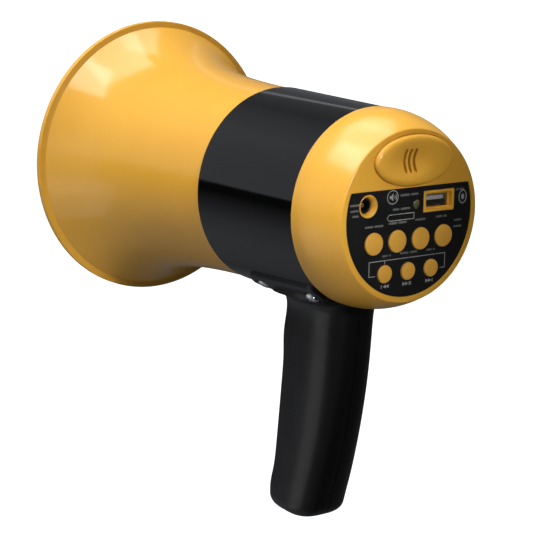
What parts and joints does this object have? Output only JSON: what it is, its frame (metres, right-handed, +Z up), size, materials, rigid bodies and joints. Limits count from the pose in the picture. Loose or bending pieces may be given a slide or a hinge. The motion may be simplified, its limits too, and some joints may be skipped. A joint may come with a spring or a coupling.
{
  "type": "handheld megaphone",
  "caption": "Handheld megaphone with a flared bell, a folded horn, a barrel, a domed rear cover with a control panel and microphone, and a pistol grip with a talk trigger.",
  "frame": {"origin": "centre of the bell's mouth, on the horn's axis", "axes": "+Y along the horn's axis towards the control panel, +Z up with the grip hanging towards -Z, +X to the speaker's left"},
  "size_m": [0.151, 0.2246, 0.2423],
  "materials": {
    "horn_plastic": "satin moulded ABS, yellow-orange",
    "cover_plastic": "satin moulded ABS, yellow-orange",
    "button_plastic": "satin moulded ABS, yellow",
    "barrel_plastic": "polished black",
    "grip_plastic": "semi-gloss moulded black",
    "panel_print": "satin printed polycarbonate",
    "screw_chrome": "bright plated",
    "zinc_screw": "zinc plated",
    "port_steel": "nickel-plated sheet",
    "port_tongue": "pale moulded",
    "jack_plastic": "black moulded",
    "led_lens": "clear-tinted",
    "board_laminate": "green solder resist",
    "chip_epoxy": "black epoxy",
    "capacitor_sleeve": "shrink sleeve",
    "header_plastic": "natural nylon",
    "seal_rubber": "soft black",
    "diaphragm_film": "pressed phenolic",
    "coil_copper": "enamelled wire",
    "magnet_ferrite": "dark ferrite",
    "pole_steel": "zinc plated",
    "cell_sleeve": "shrink-wrapped can",
    "tab_nickel": "nickel strip",
    "lead_red": "soft insulation",
    "lead_grey": "soft insulation",
    "lead_black": "soft insulation",
    "spring_wire": "music wire"
  },
  "bodies": {
    "casing": {"bell": "horn_plastic", "barrel": "barrel_plastic", "rear_cover": "cover_plastic", "control_panel": "panel_print", "microphone_cover": "cover_plastic", "microphone_boot": "seal_rubber", "microphone_capsule": "pole_steel", "usb_port_shell": "port_steel", "usb_port_tongue": "port_tongue", "charging_jack": "jack_plastic", "charging_jack_pin": "port_steel", "indicator_led": "led_lens", "main_board": "board_laminate", "board_screws": "zinc_screw", "key_switches": "chip_epoxy", "board_chips": "chip_epoxy", "capacitors": "capacitor_sleeve", "lead_headers": "header_plastic", "throat_horn": "horn_plastic", "reflector": "horn_plastic", "throat_screws": "zinc_screw", "driver_gasket": "seal_rubber", "driver_cap": "jack_plastic", "driver_diaphragm": "diaphragm_film", "voice_coil": "coil_copper", "driver_top_plate": "pole_steel", "driver_magnet": "magnet_ferrite", "driver_yoke": "pole_steel", "driver_screws": "zinc_screw", "handle_left": "grip_plastic", "handle_right": "grip_plastic", "handle_screws": "zinc_screw", "saddle_screws": "screw_chrome", "trigger_pin": "pole_steel", "trigger_switch": "chip_epoxy", "battery_cell": "cell_sleeve", "battery_tabs": "tab_nickel", "battery_leads": "lead_red", "trigger_leads": "lead_grey", "driver_leads": "lead_black", "microphone_leads": "lead_black"},
    "power_button": {"power_button": "button_plastic"},
    "alarm_button": {"alarm_button": "button_plastic"},
    "record_button": {"record_button": "button_plastic"},
    "play_button": {"play_button": "button_plastic"},
    "previous_button": {"previous_button": "button_plastic"},
    "pause_button": {"pause_button": "button_plastic"},
    "next_button": {"next_button": "button_plastic"},
    "trigger": {"trigger": "grip_plastic", "trigger_spring": "spring_wire"}
  },
  "joints": [
    {"name": "power_button_press", "type": "slide", "parent": "casing", "child": "power_button", "axis": [0, -1, 0], "range_m": [0, 0.0005], "stiffness_N_per_m": 800},
    {"name": "alarm_button_press", "type": "slide", "parent": "casing", "child": "alarm_button", "axis": [0, -1, 0], "range_m": [0, 0.0005], "stiffness_N_per_m": 800},
    {"name": "record_button_press", "type": "slide", "parent": "casing", "child": "record_button", "axis": [0, -1, 0], "range_m": [0, 0.0005], "stiffness_N_per_m": 800},
    {"name": "play_button_press", "type": "slide", "parent": "casing", "child": "play_button", "axis": [0, -1, 0], "range_m": [0, 0.0005], "stiffness_N_per_m": 800},
    {"name": "previous_button_press", "type": "slide", "parent": "casing", "child": "previous_button", "axis": [0, -1, 0], "range_m": [0, 0.0005], "stiffness_N_per_m": 800},
    {"name": "pause_button_press", "type": "slide", "parent": "casing", "child": "pause_button", "axis": [0, -1, 0], "range_m": [0, 0.0005], "stiffness_N_per_m": 800},
    {"name": "next_button_press", "type": "slide", "parent": "casing", "child": "next_button", "axis": [0, -1, 0], "range_m": [0, 0.0005], "stiffness_N_per_m": 800},
    {"name": "trigger_squeeze", "type": "hinge", "parent": "casing", "child": "trigger", "pos_m": [0, 0.147, -0.0606], "axis": [1, 0, 0], "range_deg": [0, 5], "stiffness_Nm_per_rad": 1.2, "springref_deg": -2.86}
  ]
}
